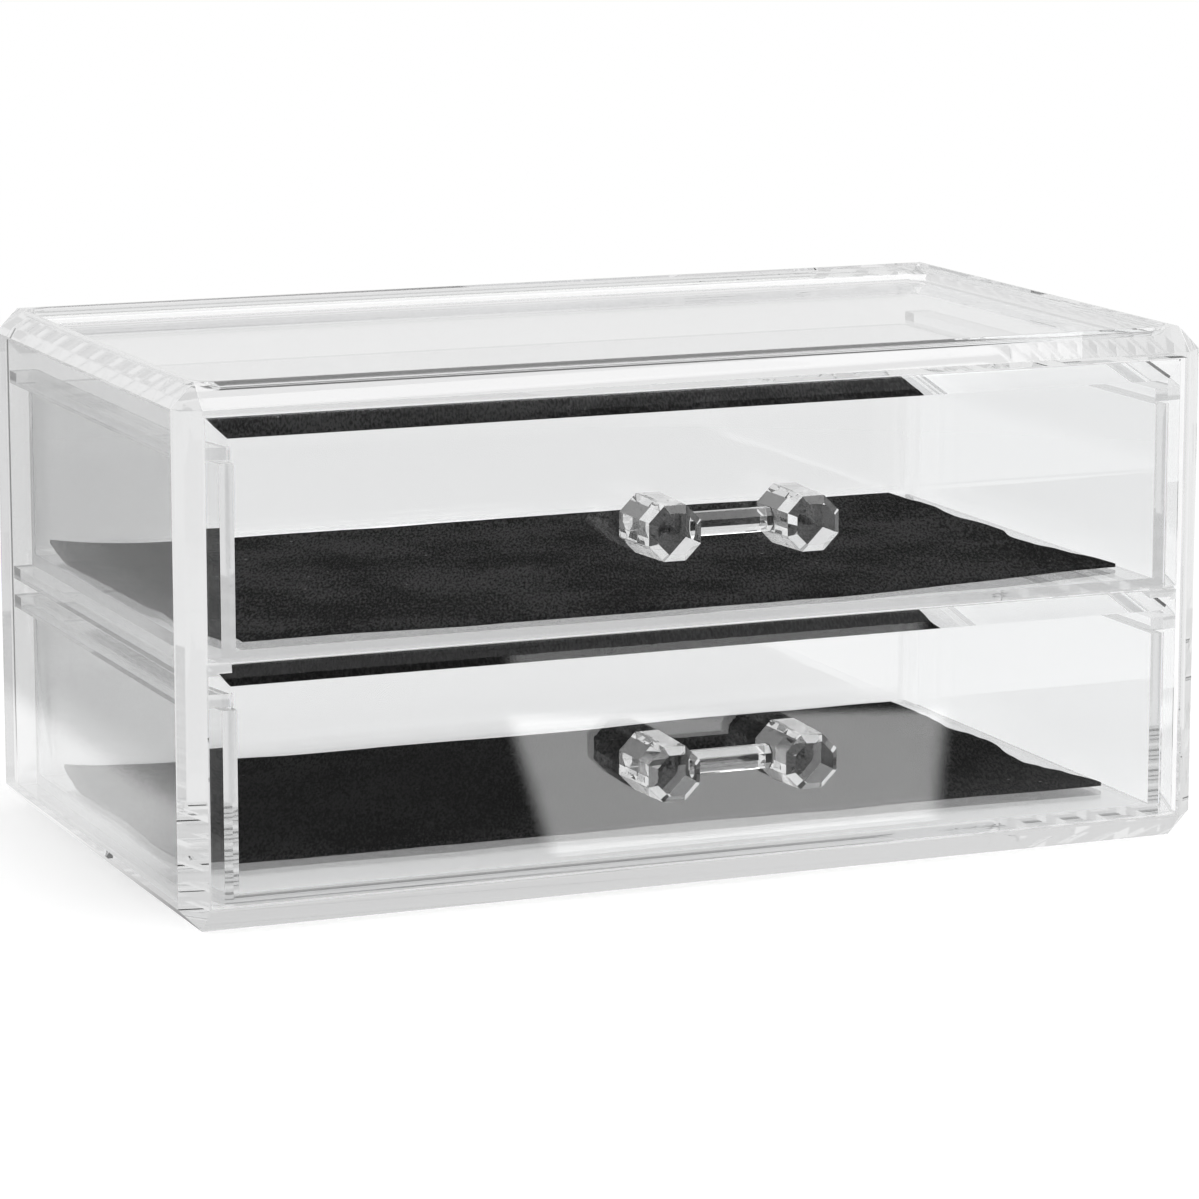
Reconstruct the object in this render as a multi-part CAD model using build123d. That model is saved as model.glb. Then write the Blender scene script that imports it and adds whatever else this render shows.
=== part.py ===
from build123d import *
import os

os.makedirs("parts", exist_ok=True)

# Case, all sizes in millimetres
case_width = 240.0
case_depth = 140.0
case_height = 116.0
edge_chamfer = 5.2
side_wall = 5.6
floor_thickness = 5.6
rear_wall = 5.6
deck_thickness = 2.6
rim_height = 3.8
rim_land = 0.6
rim_foot_share = 0.85
rim_corner_radius = 6.0
cavity_rear_radius = 5.0

# Fits
front_side_gap = 0.7
front_end_gap = 0.6
front_between_gap = 0.8
running_gap = 0.2
hold_down_gap = 0.5
bond_line = 0.05

# Drawer fronts
front_thickness = 3.0
bevel_width = 4.2
bevel_depth = 1.9

# Drawer trays
tray_side_inset = 3.4
tray_wall = 2.7
tray_floor = 2.5
tray_below_front = 0.4
tray_wall_drop = 9.7
tray_rear_gap = 3.0
tray_outer_radius = 4.0
tray_inner_radius = 1.3

# Strips inside the case
strip_height = 2.8
strip_bearing = 2.3
strip_front_setback = 1.0
strip_rear_gap = 5.5

# Handles
handle_sides = 8
post_pitch = 32.0
post_across_flats = 12.8
post_length = 16.5
post_draft = 1.7
post_front_bevel = 1.5
post_below_middle = 2.2
bar_across_flats = 5.0
bar_standoff = 6.0
bar_socket_depth = 3.5

# Liners
liner_thickness = 1.2
liner_side_gap = 1.6
upper_liner_front_gap = 4.5
upper_liner_rear_gap = 3.0
lower_liner_front_gap = 14.5
lower_liner_rear_gap = 7.0
liner_corner_radius = 3.0

# Positions that follow from the sizes above
front_plane = -case_depth / 2
cavity_half_width = case_width / 2 - side_wall
cavity_rear = case_depth / 2 - rear_wall
ceiling_level = case_height - rim_height - deck_thickness
cavity_height = ceiling_level - floor_thickness
front_height = (cavity_height - 2 * front_end_gap - front_between_gap) / 2
front_half_width = cavity_half_width - front_side_gap
front_back = front_plane + front_thickness
lower_level = floor_thickness + front_end_gap
upper_level = lower_level + front_height + front_between_gap
tray_half_width = front_half_width - tray_side_inset
tray_front = front_back + bond_line
tray_rear = cavity_rear - tray_rear_gap
tray_height = front_height + tray_below_front - tray_wall_drop
strip_edge = tray_half_width - strip_bearing
strip_front = front_back + strip_front_setback
strip_rear = cavity_rear - strip_rear_gap
handle_turn = 180 / handle_sides


def block(x_range, y_range, z_range):
    """A plain box between pairs of limits."""
    ranges = (x_range, y_range, z_range)
    size = [high - low for low, high in ranges]
    middle = [(high + low) / 2 for low, high in ranges]
    return Pos(*middle) * Box(*size)


def rounded_plate(half_width, y_range, z_range, radius):
    """A flat plate about the middle plane with its upright edges rounded."""
    plate = block((-half_width, half_width), y_range, z_range)
    return fillet(plate.edges().filter_by(Axis.Z), radius)


def rear_rounded(half_width, y_range, z_range, radius, round_top):
    """A box about the middle plane with its rear edges rounded, at the top only on request."""
    box = block((-half_width, half_width), y_range, z_range)
    edges = box.faces().sort_by(Axis.Y)[-1].edges().sort_by(Axis.Z)
    return fillet(edges if round_top else edges[:-1], radius)


def save(shape, name):
    """Writes one node to its own file."""
    shape.label = name
    export_step(shape, os.path.join("parts", name + ".step"))


def case_cavity():
    """The space for both drawers, open at the front and rounded at the rear."""
    return rear_rounded(
        cavity_half_width,
        (front_plane - side_wall, cavity_rear),
        (floor_thickness, ceiling_level),
        cavity_rear_radius,
        round_top=True,
    )


def stacking_recess():
    """The shallow tray in the top, with a rounded foot all round inside the raised rim."""
    inset = edge_chamfer + rim_land
    recess = rounded_plate(
        case_width / 2 - inset,
        (inset - case_depth / 2, case_depth / 2 - inset),
        (case_height - rim_height, case_height + rim_height),
        rim_corner_radius,
    )
    return fillet(recess.faces().sort_by(Axis.Z)[0].edges(), rim_foot_share * rim_height)


def case_shell():
    """The moulded case with every outer edge chamfered."""
    shell = block(
        (-case_width / 2, case_width / 2),
        (-case_depth / 2, case_depth / 2),
        (0, case_height),
    )
    shell = chamfer(shell.edges(), edge_chamfer)
    return shell - case_cavity() - stacking_recess()


def strip(side, level):
    """A strip bonded to the inside of one side wall, its underside at a level."""
    x_range = sorted((side * (cavity_half_width - bond_line), side * strip_edge))
    return block(x_range, (strip_front, strip_rear), (level, level + strip_height))


def drawer_tray(level):
    """The tub behind a drawer front: floor, two sides and a rear wall."""
    bottom = level - tray_below_front
    top = bottom + tray_height
    tub = rear_rounded(
        tray_half_width, (tray_front, tray_rear), (bottom, top), tray_outer_radius, round_top=False
    )
    inside = rear_rounded(
        tray_half_width - tray_wall,
        (tray_front - tray_wall, tray_rear - tray_wall),
        (bottom + tray_floor, top + tray_wall),
        tray_inner_radius,
        round_top=False,
    )
    return tub - inside


def drawer_front(level):
    """The clear front, bevelled along its top and both sides."""
    top = level + front_height
    shoulder = front_plane + bevel_depth
    plan = Polyline(
        (-front_half_width, front_back),
        (-front_half_width, shoulder),
        (-front_half_width + bevel_width, front_plane),
        (front_half_width - bevel_width, front_plane),
        (front_half_width, shoulder),
        (front_half_width, front_back),
        close=True,
    )
    upright = Pos(0, 0, level) * extrude(make_face(plan), front_height)
    profile = Plane.YZ * Polyline(
        (front_back, level),
        (front_plane, level),
        (front_plane, top - bevel_width),
        (shoulder, top),
        (front_back, top),
        close=True,
    )
    across = extrude(make_face(profile), front_half_width, both=True)
    return upright & across


def handle_level(level):
    """Height of a handle's middle line on the drawer front that starts at a level."""
    return level + front_height / 2 - post_below_middle


def handle_rod(half_length, half_width, level):
    """An eight-sided rod from post to post, flat side to the front."""
    outline = RegularPolygon(half_width, handle_sides, major_radius=False, rotation=handle_turn)
    rod = extrude(Plane.YZ * outline, half_length, both=True)
    return Pos(0, front_plane - bar_standoff, handle_level(level)) * rod


def handle_bar(level):
    """The bar, with both its ends let into the posts."""
    reach = (post_pitch - post_across_flats) / 2 + bar_socket_depth - bond_line
    return handle_rod(reach, bar_across_flats / 2, level)


def handle_post(side, level):
    """An eight-sided post, tapered to the front, with a socket for the bar."""
    outline = RegularPolygon(
        post_across_flats / 2, handle_sides, major_radius=False, rotation=handle_turn
    )
    post = extrude(Plane.XZ * outline, post_length, taper=post_draft)
    post = chamfer(post.faces().sort_by(Axis.Y)[0].edges(), post_front_bevel)
    post = Pos(side * post_pitch / 2, front_plane - bond_line, handle_level(level)) * post
    reach = (post_pitch - post_across_flats) / 2 + bar_socket_depth
    return post - handle_rod(reach, bar_across_flats / 2 + bond_line, level)


def drawer_liner(level, front_gap, rear_gap):
    """The loose sheet on the floor of a tray."""
    bottom = level - tray_below_front + tray_floor + bond_line
    return rounded_plate(
        tray_half_width - tray_wall - liner_side_gap,
        (tray_front + front_gap, tray_rear - tray_wall - rear_gap),
        (bottom, bottom + liner_thickness),
        liner_corner_radius,
    )


def save_strips():
    """The runners under the upper tray and the hold-downs over both trays."""
    levels = {"upper_runner": upper_level - tray_below_front - running_gap - strip_height}
    for name, level in (("upper", upper_level), ("lower", lower_level)):
        levels[name + "_hold_down"] = level - tray_below_front + tray_height + hold_down_gap
    for name, level in levels.items():
        save(strip(-1, level), name + "_left")
        save(strip(1, level), name + "_right")


def save_drawer(name, level, front_gap, rear_gap):
    """All the pieces of one drawer."""
    save(drawer_tray(level), name + "_drawer_tray")
    save(drawer_front(level), name + "_drawer_front")
    save(handle_post(-1, level), name + "_handle_post_left")
    save(handle_post(1, level), name + "_handle_post_right")
    save(handle_bar(level), name + "_handle_bar")
    save(drawer_liner(level, front_gap, rear_gap), name + "_liner")


save(case_shell(), "case_shell")
save_strips()
save_drawer("upper", upper_level, upper_liner_front_gap, upper_liner_rear_gap)
save_drawer("lower", lower_level, lower_liner_front_gap, lower_liner_rear_gap)
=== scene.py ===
import math

import bmesh
import bpy
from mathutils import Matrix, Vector, noise


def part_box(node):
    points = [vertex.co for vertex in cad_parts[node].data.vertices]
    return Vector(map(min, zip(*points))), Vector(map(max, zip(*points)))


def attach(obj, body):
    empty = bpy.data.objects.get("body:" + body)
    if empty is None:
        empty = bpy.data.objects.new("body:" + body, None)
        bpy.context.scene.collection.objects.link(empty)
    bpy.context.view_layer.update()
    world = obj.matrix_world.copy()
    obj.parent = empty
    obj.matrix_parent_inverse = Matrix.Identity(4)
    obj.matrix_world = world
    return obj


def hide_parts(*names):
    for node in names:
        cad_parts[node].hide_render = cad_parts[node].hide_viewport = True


MM = 0.001
DRAWERS = ("upper", "lower")

# Camera at the photograph's angle, in radians, pixels of the photograph and metres
PHOTO_PIXELS = 1199
FOCAL_PIXELS = 4971
SENSOR_WIDTH = 36
CAMERA_AZIMUTH = math.radians(-22.655)
CAMERA_ELEVATION = math.radians(10.687)
CAMERA_DISTANCE = 1.1335
CAMERA_TARGET = Vector((2.3 * MM, 0, 51.0 * MM))
CAMERA_SIDE = (math.sin(CAMERA_AZIMUTH), -math.cos(CAMERA_AZIMUTH), 0)

# Clear plastic, with the slight waviness of a moulding
PLASTIC_IOR = 1.49
PLASTIC_TINT = (0.985, 0.987, 0.988, 1)
SHADOW_TINT = (0.9, 0.9, 0.9, 1)
MOULDING_WAVES = 14
HANDLE_WAVES = 60
WAVE_DETAIL = 1
WAVE_STRENGTH = 0.004
WAVE_DEPTH = 0.1 * MM

# Glare taken out on the right: where it starts, how squarely a face looks sideways, and what share
GLARE_START = (0.09, 0.1)
GLARE_FACING = (0.8, 1)
GLARE_CUT = 0.7
TOTAL_REFLECTION = 0.98

# Bonded joints in the eight-sided handles
BOND_REACH = 0.08 * MM
EIGHTH_TURN_COSINE = math.sqrt(0.5)

# Flock: a fine pile brushed one way, cloudy shades and specks of lint
FLOCK_DARK = (0.004, 0.004, 0.004, 1)
FLOCK_PALE = (0.043, 0.043, 0.043, 1)
FLOCK_ROUGHNESS = 0.95
PILE_RANGE = (0.2, 0.31)
PILE_SCALE = 2000
PILE_DETAIL = 3
PILE_STRETCH = (1, 5, 1)
PILE_STRENGTH = 0.5
PILE_DEPTH = 0.2 * MM
NAP_TURN = math.radians(-22)
CLOUD_SCALE = 45
CLOUD_DETAIL = 2
CLOUD_SPREAD = (0.25, 0.75)
CLOUD_RANGE = (0.42, 0.58)
LINT_COLOUR = (0.2, 0.2, 0.2, 1)
LINT_SCALE = 180
LINT_SIZE = 0.06
LINT_RARE = 0.75

# Liners: each cut edge as its places along the edge, from 0 to 1, and across it, in millimetres
LINER_COLUMNS = 120
LINER_ROWS = 80
LINER_REST = 0.1 * MM
LINER_THICKNESS = 0.8 * MM
LINER_STRAY = 0.35 * MM
LINER_STRAY_WAVES = 23
LINER_STRAY_LAYER = 4.5
LINER_SEED_STEP = 2
LINER_CURL = 0.8 * MM
LINER_CURL_REACH = 0.1
LINER_CURL_WAVES = 4.2
LINER_CURL_LEVEL = 0.4
LINER_CORNER_CURL = 2.5 * MM
LINER_CORNER_START = 0.86
LINER_CUTS = {
    "upper": {
        "front": ((0, -61.6), (0.35, -61.9), (0.66, -61.3), (0.82, -58.5), (1, -53.6)),
        "rear": ((0, 54.6), (0.25, 55.2), (0.6, 54.8), (1, 55.2)),
        "left": ((0, -104.3), (0.16, -105.3), (0.3, -103.6), (0.4, -104.9), (0.72, -105.4), (1, -105)),
        "right": (
            (0, 105.6), (0.04, 105), (0.19, 101.5), (0.265, 99.5), (0.345, 99.4), (0.454, 101.9),
            (0.51, 101.6), (0.62, 100.4), (0.855, 102.2), (1, 101.5),
        ),
        "seed": 3.3,
    },
    "lower": {
        "front": ((0, -43.6), (0.3, -44.9), (0.78, -47.4), (1, -49)),
        "rear": ((0, 49.4), (0.1, 51), (0.5, 50.6), (1, 51.2)),
        "left": ((0, -104.6), (0.25, -105.3), (0.5, -104.4), (0.8, -105.2), (1, -104.2)),
        "right": (
            (0, 105.6), (0.15, 103.6), (0.215, 101.3), (0.27, 99.3), (0.335, 99.8), (0.49, 102.1),
            (0.59, 102), (0.69, 100.5), (0.85, 101), (1, 101),
        ),
        "seed": 8.1,
    },
}

# Floor, in metres and shares of full strength; it glows a little more for the camera than for the object
FLOOR_DROP = 0.3 * MM
FLOOR_SIZE = 8.0
FLOOR_COLOUR = (0.8, 0.8, 0.8, 1)
FLOOR_GLOW = (0.42, 0.5)
FLOOR_FADE = (0.25, 0.6)
FULL_STRENGTH = 1

# What single reflections find, a painted reflection glowing in the floor and the world for those rays
# alone: a bright patch on the floor, a dim side and a dark room by the camera
ROOM_EDGE = (0, 0.12)
BRIGHT_PATCH_EDGE = (-0.162, -0.15)
SIDE_WHITE = 0.9
SIDE_DIM = 0.26
REFLECTED_DARK = 0.15
ROOM_TURN = (0.2, 0.5)
ROOM_DARK = 0.08

# The surround, from the horizon to the ceiling, and the even level that deeper reflections find
SURROUND_COLOUR = (0.8, 0.8, 0.8, 1)
CEILING_RISE = (0.35, 0.7)
HORIZON_LEVEL = 1
CEILING_LEVEL = 0.55
DEEP_LEVEL = 0.85

# Numbers of reflections that part a plain view, a single reflection and a deeper one
ONCE_REFLECTED = 0.5
OFTEN_REFLECTED = 1.5
GLASS_BOUNCES = 160

# Lamps, in metres and watts; each slanted edge of the card is its way inward and where light fades in
SOFTBOX_PLACE = (0.25, -0.5, 1.25)
SOFTBOX_SIZE = (0.9, 0.9)
SOFTBOX_POWER = 7
CARD_PLACE = (0.0625, -0.1775, 0.002)
CARD_SIZE = (0.185, 0.155)
CARD_POWER = 0.3
CARD_EDGES = (
    ((1, 0.324, 0), (-0.06, -0.054)),
    ((-1, -0.528, 0), (-0.019, -0.013)),
    ((-0.313, 0.95, 0), (-0.242, -0.226)),
)


def add_object(name, data):
    """Puts a mesh, a lamp or the camera into the scene under a name."""
    item = bpy.data.objects.new(name, data)
    bpy.context.scene.collection.objects.link(item)
    return item


def mesh_from(grid, name):
    """A mesh under a name, from a finished grid."""
    mesh = bpy.data.meshes.new(name)
    grid.to_mesh(mesh)
    grid.free()
    return mesh


def new_material(name):
    """An empty node material, and its tree."""
    material = bpy.data.materials.new(name)
    material.use_nodes = True
    material.node_tree.nodes.clear()
    return material, material.node_tree


def source(tree, kind, output):
    """One output of a node that needs no inputs."""
    return tree.nodes.new(kind).outputs[output]


def add_node(tree, kind, inputs, **settings):
    """A node with its settings, and with its inputs joined to sockets or set to plain values."""
    node = tree.nodes.new(kind)
    for name, value in settings.items():
        setattr(node, name, value)
    for name, value in inputs.items():
        if isinstance(value, bpy.types.NodeSocket):
            tree.links.new(value, node.inputs[name])
        else:
            node.inputs[name].default_value = value
    return node


def math_node(tree, operation, first, second):
    """The result of a sum on a socket and either a second socket or a number."""
    node = add_node(tree, "ShaderNodeMath", {0: first, 1: second}, operation=operation)
    return node.outputs["Value"]


def product(tree, first, *others):
    """Sockets multiplied together."""
    for other in others:
        first = math_node(tree, "MULTIPLY", first, other)
    return first


def split(tree, vector):
    """The three coordinates of a vector."""
    return add_node(tree, "ShaderNodeSeparateXYZ", {"Vector": vector}).outputs


def reach_along(tree, place, direction):
    """How far a place lies along a direction."""
    node = add_node(tree, "ShaderNodeVectorMath", {0: place, 1: direction}, operation="DOT_PRODUCT")
    return node.outputs["Value"]


def reach_map(tree, value, limits, results, slope="SMOOTHSTEP"):
    """A value turned from one result to another between two limits."""
    ranges = {
        "Value": value,
        "From Min": limits[0],
        "From Max": limits[1],
        "To Min": results[0],
        "To Max": results[1],
    }
    return add_node(tree, "ShaderNodeMapRange", ranges, interpolation_type=slope).outputs["Result"]


def soft_noise(tree, place, scale, detail):
    """A soft noise over places."""
    inputs = {"Vector": place, "Scale": scale, "Detail": detail}
    return add_node(tree, "ShaderNodeTexNoise", inputs).outputs["Fac"]


def bump(tree, height, strength, depth):
    """The direction of a face that a height tilts."""
    inputs = {"Height": height, "Strength": strength, "Distance": depth}
    return add_node(tree, "ShaderNodeBump", inputs).outputs["Normal"]


def mix_shader(tree, factor, first, second):
    """One shader where the factor is 0 and another where it is 1."""
    return add_node(tree, "ShaderNodeMixShader", {"Fac": factor, 1: first, 2: second}).outputs["Shader"]


def side_glare(tree):
    """How much of the glare is taken out: on the right-hand walls, short of total reflection."""
    across = split(tree, source(tree, "ShaderNodeTexCoord", "Object"))["X"]
    turn = split(tree, source(tree, "ShaderNodeNewGeometry", "Normal"))["X"]
    gloss = add_node(tree, "ShaderNodeFresnel", {"IOR": PLASTIC_IOR}).outputs["Fac"]
    return product(
        tree,
        reach_map(tree, across, GLARE_START, (0, GLARE_CUT)),
        reach_map(tree, math_node(tree, "POWER", turn, 2), GLARE_FACING, (0, 1)),
        math_node(tree, "LESS_THAN", gloss, TOTAL_REFLECTION),
    )


def bond_mask(tree, bar_box, post_face):
    """1 on the faces inside the joints of a bar and its posts, where the bond leaves nothing to see."""
    low, high = bar_box
    middle = (low + high) / 2
    half = high - middle
    place = source(tree, "ShaderNodeTexCoord", "Object")
    centred = add_node(tree, "ShaderNodeVectorMath", {0: place, 1: middle}, operation="SUBTRACT")
    folded = add_node(tree, "ShaderNodeVectorMath", {0: centred.outputs["Vector"]}, operation="ABSOLUTE")
    out = split(tree, folded.outputs["Vector"])
    flat = math_node(tree, "MAXIMUM", out["Y"], out["Z"])
    sloped = math_node(tree, "MULTIPLY", math_node(tree, "ADD", out["Y"], out["Z"]), EIGHTH_TURN_COSINE)
    return product(
        tree,
        math_node(tree, "LESS_THAN", math_node(tree, "MAXIMUM", flat, sloped), half.z + BOND_REACH),
        math_node(tree, "GREATER_THAN", out["X"], post_face - middle.x),
        math_node(tree, "LESS_THAN", out["X"], half.x + BOND_REACH),
    )


def polished(tree, wave_scale):
    """Polished clear plastic with slight waves."""
    waves = soft_noise(tree, source(tree, "ShaderNodeTexCoord", "Object"), wave_scale, WAVE_DETAIL)
    plastic = add_node(tree, "ShaderNodeBsdfPrincipled", {
        "Base Color": PLASTIC_TINT,
        "Roughness": 0,
        "IOR": PLASTIC_IOR,
        "Transmission Weight": 1,
        "Normal": bump(tree, waves, WAVE_STRENGTH, WAVE_DEPTH),
    })
    return plastic.outputs["BSDF"]


def let_lamps_through(tree, shader):
    """Finishes a clear material, so that it casts only a pale shadow."""
    through = add_node(tree, "ShaderNodeBsdfTransparent", {"Color": SHADOW_TINT}).outputs["BSDF"]
    shadow = source(tree, "ShaderNodeLightPath", "Is Shadow Ray")
    shader = mix_shader(tree, shadow, shader, through)
    add_node(tree, "ShaderNodeOutputMaterial", {"Surface": shader})


def moulded_plastic(name):
    """The plastic of the case and the drawers, with part of the glare on the right taken out."""
    material, tree = new_material(name)
    bent = add_node(tree, "ShaderNodeBsdfRefraction", {
        "Color": PLASTIC_TINT,
        "Roughness": 0,
        "IOR": PLASTIC_IOR,
    })
    plastic = polished(tree, MOULDING_WAVES)
    let_lamps_through(tree, mix_shader(tree, side_glare(tree), plastic, bent.outputs["BSDF"]))
    return material


def handle_plastic(name, bar_box, post_face):
    """The plastic of a handle, without the faces inside its bonded joints."""
    material, tree = new_material(name)
    bond = source(tree, "ShaderNodeBsdfTransparent", "BSDF")
    mask = bond_mask(tree, bar_box, post_face)
    let_lamps_through(tree, mix_shader(tree, mask, polished(tree, HANDLE_WAVES), bond))
    return material


def dress_clear_nodes(frame):
    """Gives every clear CAD node its plastic."""
    moulded = moulded_plastic("clear_moulding")
    faceted = {}
    for drawer in DRAWERS:
        bar_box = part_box(drawer + "_handle_bar")
        post_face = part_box(drawer + "_handle_post_right")[0].x
        faceted[drawer] = handle_plastic(drawer + "_clear_handle", bar_box, post_face)
    for name, node in frame["nodes"].items():
        if "liner" in name:
            continue
        material = faceted[name.split("_")[0]] if "handle" in name else moulded
        node.data.materials.clear()
        node.data.materials.append(material)


def with_lint(tree, place, colour):
    """A colour with rare pale specks of lint on it."""
    flecks = add_node(tree, "ShaderNodeTexVoronoi", {"Vector": place, "Scale": LINT_SCALE})
    chance = add_node(tree, "ShaderNodeSeparateColor", {"Color": flecks.outputs["Color"]})
    rare = math_node(tree, "GREATER_THAN", chance.outputs["Red"], LINT_RARE)
    small = math_node(tree, "LESS_THAN", flecks.outputs["Distance"], LINT_SIZE)
    inputs = {"Factor": product(tree, rare, small), "A": colour, "B": LINT_COLOUR}
    return add_node(tree, "ShaderNodeMix", inputs, data_type="RGBA").outputs["Result"]


def flocked(name):
    """Matte black flock with a fine pile, cloudy shades and pale lint specks."""
    material, tree = new_material(name)
    place = source(tree, "ShaderNodeTexCoord", "Object")
    brushed = {"Vector": place, "Rotation": (0, 0, NAP_TURN), "Scale": PILE_STRETCH}
    nap = add_node(tree, "ShaderNodeMapping", brushed, vector_type="TEXTURE").outputs["Vector"]
    pile = soft_noise(tree, nap, PILE_SCALE, PILE_DETAIL)
    cloud = soft_noise(tree, place, CLOUD_SCALE, CLOUD_DETAIL)
    drift = reach_map(tree, cloud, CLOUD_SPREAD, CLOUD_RANGE)
    shade = add_node(tree, "ShaderNodeValToRGB", {"Fac": product(tree, pile, drift)})
    colours = (FLOCK_DARK, FLOCK_PALE)
    for stop, position, colour in zip(shade.color_ramp.elements, PILE_RANGE, colours):
        stop.position = position
        stop.color = colour
    flock = add_node(tree, "ShaderNodeBsdfPrincipled", {
        "Base Color": with_lint(tree, place, shade.outputs["Color"]),
        "Roughness": FLOCK_ROUGHNESS,
        "Specular IOR Level": 0,
        "Normal": bump(tree, pile, PILE_STRENGTH, PILE_DEPTH),
    })
    add_node(tree, "ShaderNodeOutputMaterial", {"Surface": flock.outputs["BSDF"]})
    return material


def edge_line(points, along, seed):
    """Where a cut edge lies at a place along it, smooth between its points and a little uneven."""
    for (start, low), (end, high) in zip(points, points[1:]):
        if along <= end:
            break
    share = (along - start) / (end - start)
    share = share * share * (3 - 2 * share)
    stray = noise.noise(Vector((along * LINER_STRAY_WAVES, seed, LINER_STRAY_LAYER)))
    return (low + (high - low) * share) * MM + LINER_STRAY * stray


def liner_lift(u, v, seed):
    """How far a liner curls up at a point: a little along its edges, and at its rear left corner."""
    edge = max(0, 1 - min(u, 1 - u, v, 1 - v) / LINER_CURL_REACH)
    wave = noise.noise(Vector((u * LINER_CURL_WAVES, v * LINER_CURL_WAVES, seed)))
    corner = max(0, v - u - LINER_CORNER_START) / (1 - LINER_CORNER_START)
    return edge ** 2 * LINER_CURL * max(0, LINER_CURL_LEVEL + wave) + corner ** 2 * LINER_CORNER_CURL


def liner_point(cut, floor_level, u, v):
    """The place of a point of a liner, u across from the left and v back from the front."""
    along = {"left": v, "right": v, "front": u, "rear": u}
    left, right, front, rear = (
        edge_line(cut[edge], place, cut["seed"] + LINER_SEED_STEP * index)
        for index, (edge, place) in enumerate(along.items())
    )
    return Vector((
        left + (right - left) * u,
        front + (rear - front) * v,
        floor_level + LINER_REST + liner_lift(u, v, cut["seed"]),
    ))


def liner_surface(cut, floor_level):
    """The sheet's underside as a grid of points."""
    grid = bmesh.new()
    across = [column / LINER_COLUMNS for column in range(LINER_COLUMNS + 1)]
    back = [row / LINER_ROWS for row in range(LINER_ROWS + 1)]
    rows = [[grid.verts.new(liner_point(cut, floor_level, u, v)) for u in across] for v in back]
    for near, far in zip(rows, rows[1:]):
        for column in range(LINER_COLUMNS):
            grid.faces.new((near[column], near[column + 1], far[column + 1], far[column]))
    return grid


def make_liner(name, cut, material):
    """The loose flocked sheet in one drawer, with its unevenly cut edges."""
    low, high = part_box(name + "_liner")
    grid = liner_surface(cut, low.z)
    area = sum(face.calc_area() for face in grid.faces)
    sheet = add_object(name + "_liner_sheet", mesh_from(grid, name + "_liner_sheet"))
    sheet.data.materials.append(material)
    sheet.data.shade_smooth()
    thick = sheet.modifiers.new("thickness", "SOLIDIFY")
    thick.thickness = LINER_THICKNESS
    thick.offset = 1
    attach(sheet, name + "_drawer")
    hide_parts(name + "_liner")


def by_reflections(tree, plain, single, deep):
    """One shader for a plain view, one for a single reflection and one for deeper reflections."""
    depth = source(tree, "ShaderNodeLightPath", "Glossy Depth")
    once = math_node(tree, "GREATER_THAN", depth, ONCE_REFLECTED)
    often = math_node(tree, "GREATER_THAN", depth, OFTEN_REFLECTED)
    return mix_shader(tree, often, mix_shader(tree, once, plain, single), deep)


def emission(tree, strength):
    """A glowing surface."""
    return add_node(tree, "ShaderNodeEmission", {"Strength": strength}).outputs["Emission"]


def background(tree, strength):
    """A glowing surround."""
    inputs = {"Color": SURROUND_COLOUR, "Strength": strength}
    return add_node(tree, "ShaderNodeBackground", inputs).outputs["Background"]


def floor_white(name):
    """Matte white that keeps the object's shadow, fades to plain white and shows dimmer in reflections,
    where it glows in painted shapes: a bright patch, a dim side and dark toward the camera.
    """
    material, tree = new_material(name)
    place = source(tree, "ShaderNodeTexCoord", "Object")
    matte = add_node(tree, "ShaderNodeBsdfDiffuse", {"Color": FLOOR_COLOUR}).outputs["BSDF"]
    camera_ray = source(tree, "ShaderNodeLightPath", "Is Camera Ray")
    glow = emission(tree, reach_map(tree, camera_ray, (0, 1), FLOOR_GLOW))
    lit = add_node(tree, "ShaderNodeAddShader", {0: matte, 1: glow}).outputs["Shader"]
    reach = add_node(tree, "ShaderNodeVectorMath", {0: place}, operation="LENGTH").outputs["Value"]
    fade = reach_map(tree, reach, FLOOR_FADE, (0, 1), "LINEAR")
    plain = mix_shader(tree, fade, lit, emission(tree, FULL_STRENGTH))
    # Painted reflection: for single reflections the floor glows dark toward the camera, dim on its left
    # and bright on the patch between
    toward = reach_along(tree, place, CAMERA_SIDE)
    backdrop = reach_map(tree, toward, ROOM_EDGE, (SIDE_WHITE, REFLECTED_DARK))
    sheet = reach_map(tree, split(tree, place)["X"], BRIGHT_PATCH_EDGE, (SIDE_DIM, 1))
    single = emission(tree, product(tree, sheet, backdrop))
    shader = by_reflections(tree, plain, single, emission(tree, DEEP_LEVEL))
    add_node(tree, "ShaderNodeOutputMaterial", {"Surface": shader})
    return material


def make_floor():
    """The floor that the object stands on."""
    grid = bmesh.new()
    bmesh.ops.create_grid(grid, x_segments=1, y_segments=1, size=FLOOR_SIZE / 2)
    floor = add_object("floor", mesh_from(grid, "floor"))
    floor.location.z = -FLOOR_DROP
    floor.data.materials.append(floor_white("floor"))


def make_world():
    """A pale surround under a grey ceiling; single reflections find a dark room on the camera's side."""
    world = bpy.data.worlds.new("studio")
    bpy.context.scene.world = world
    world.use_nodes = True
    tree = world.node_tree
    tree.nodes.clear()
    way = source(tree, "ShaderNodeTexCoord", "Generated")
    height = split(tree, way)["Z"]
    rise = reach_map(tree, height, CEILING_RISE, (HORIZON_LEVEL, CEILING_LEVEL), "LINEAR")
    toward = reach_along(tree, way, CAMERA_SIDE)
    room = reach_map(tree, toward, ROOM_TURN, (1, ROOM_DARK), "LINEAR")
    single = background(tree, product(tree, rise, room))
    shader = by_reflections(tree, background(tree, rise), single, background(tree, DEEP_LEVEL))
    camera_ray = source(tree, "ShaderNodeLightPath", "Is Camera Ray")
    shader = mix_shader(tree, camera_ray, shader, background(tree, FULL_STRENGTH))
    add_node(tree, "ShaderNodeOutputWorld", {"Surface": shader})


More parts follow.
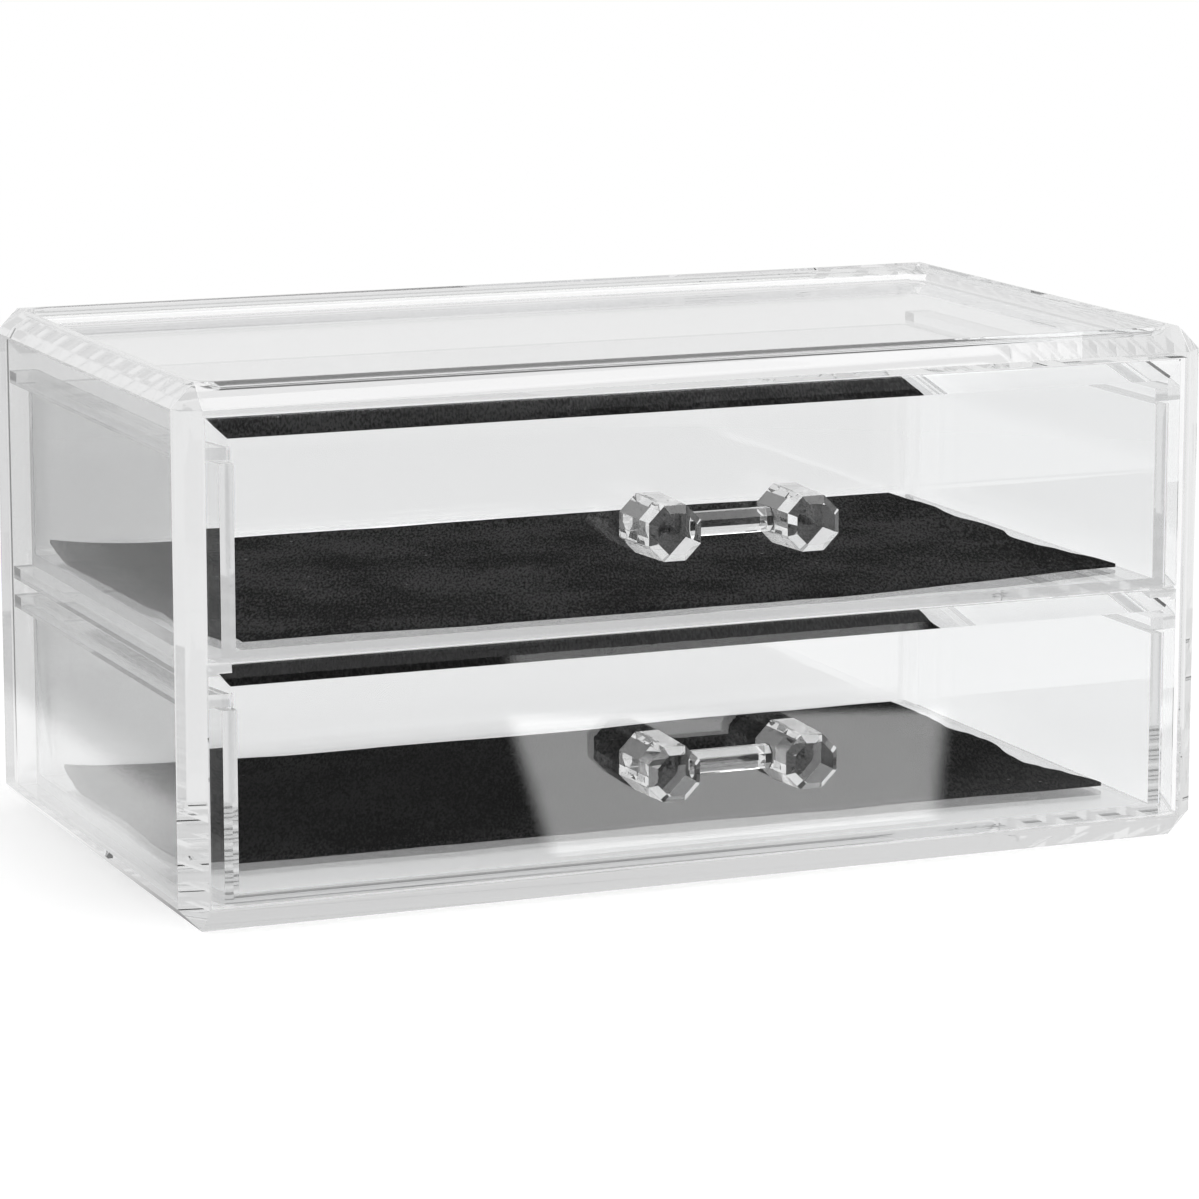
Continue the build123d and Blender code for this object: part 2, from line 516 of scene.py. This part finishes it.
def make_lamp(name, place, size, power):
    """A rectangular lamp that shines straight down."""
    data = bpy.data.lights.new(name, "AREA")
    data.shape = "RECTANGLE"
    data.size, data.size_y = size
    data.energy = power
    data.use_nodes = True
    lamp = add_object(name, data)
    lamp.location = place
    return lamp


def limit_light(tree, shown):
    """Makes a lamp shine only as far as a socket of its tree says."""
    tree.links.new(shown, tree.nodes["Emission"].inputs["Strength"])


def make_softbox():
    """The soft lamp above the front, which deeper reflections inside the plastic don't find."""
    tree = make_lamp("softbox_top", SOFTBOX_PLACE, SOFTBOX_SIZE, SOFTBOX_POWER).data.node_tree
    depth = source(tree, "ShaderNodeLightPath", "Glossy Depth")
    limit_light(tree, math_node(tree, "LESS_THAN", depth, OFTEN_REFLECTED))


def make_card(mirror):
    """A card of light that faces up in front, with slanted soft edges, and shows only in a mirror."""
    card = make_lamp("card_front", CARD_PLACE, CARD_SIZE, CARD_POWER)
    card.rotation_euler.x = math.pi
    card.visible_camera = False
    receivers = bpy.data.collections.new("card_receivers")
    receivers.objects.link(mirror)
    card.light_linking.receiver_collection = receivers
    tree = card.data.node_tree
    place = source(tree, "ShaderNodeNewGeometry", "Position")
    shown = math_node(tree, "COMPARE", source(tree, "ShaderNodeLightPath", "Glossy Depth"), 1)
    for inward, limits in CARD_EDGES:
        shown = product(tree, shown, reach_map(tree, reach_along(tree, place, inward), limits, (0, 1)))
    limit_light(tree, shown)


def make_camera():
    """The camera, at the photograph's angle."""
    data = bpy.data.cameras.new("camera")
    data.sensor_width = SENSOR_WIDTH
    data.lens = FOCAL_PIXELS / PHOTO_PIXELS * SENSOR_WIDTH
    camera = add_object("camera", data)
    level = math.cos(CAMERA_ELEVATION)
    back = Vector((CAMERA_SIDE[0] * level, CAMERA_SIDE[1] * level, math.sin(CAMERA_ELEVATION)))
    camera.location = CAMERA_TARGET + back * CAMERA_DISTANCE
    camera.rotation_mode = "QUATERNION"
    camera.rotation_quaternion = (-back).to_track_quat("-Z", "Y")
    bpy.context.scene.camera = camera


def set_up_scene():
    """Plain colours, and enough bounces for light to find its way through the nested clear pieces."""
    scene = bpy.context.scene
    scene.view_settings.view_transform = "Standard"
    scene.cycles.max_bounces = GLASS_BOUNCES
    scene.cycles.transmission_bounces = GLASS_BOUNCES
    scene.cycles.glossy_bounces = GLASS_BOUNCES
    scene.cycles.transparent_max_bounces = GLASS_BOUNCES


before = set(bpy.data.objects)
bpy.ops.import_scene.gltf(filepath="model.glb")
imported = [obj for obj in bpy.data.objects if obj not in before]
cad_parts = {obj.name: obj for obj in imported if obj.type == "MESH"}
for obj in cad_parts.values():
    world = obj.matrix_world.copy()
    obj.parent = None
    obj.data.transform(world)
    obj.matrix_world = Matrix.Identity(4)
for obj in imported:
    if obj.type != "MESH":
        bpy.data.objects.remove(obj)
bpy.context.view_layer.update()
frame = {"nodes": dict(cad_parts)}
set_up_scene()
make_camera()
make_world()
make_floor()
make_softbox()
make_card(frame["nodes"]["lower_drawer_front"])
dress_clear_nodes(frame)
flock = flocked("black_flock")
for drawer in DRAWERS:
    make_liner(drawer, LINER_CUTS[drawer], flock)
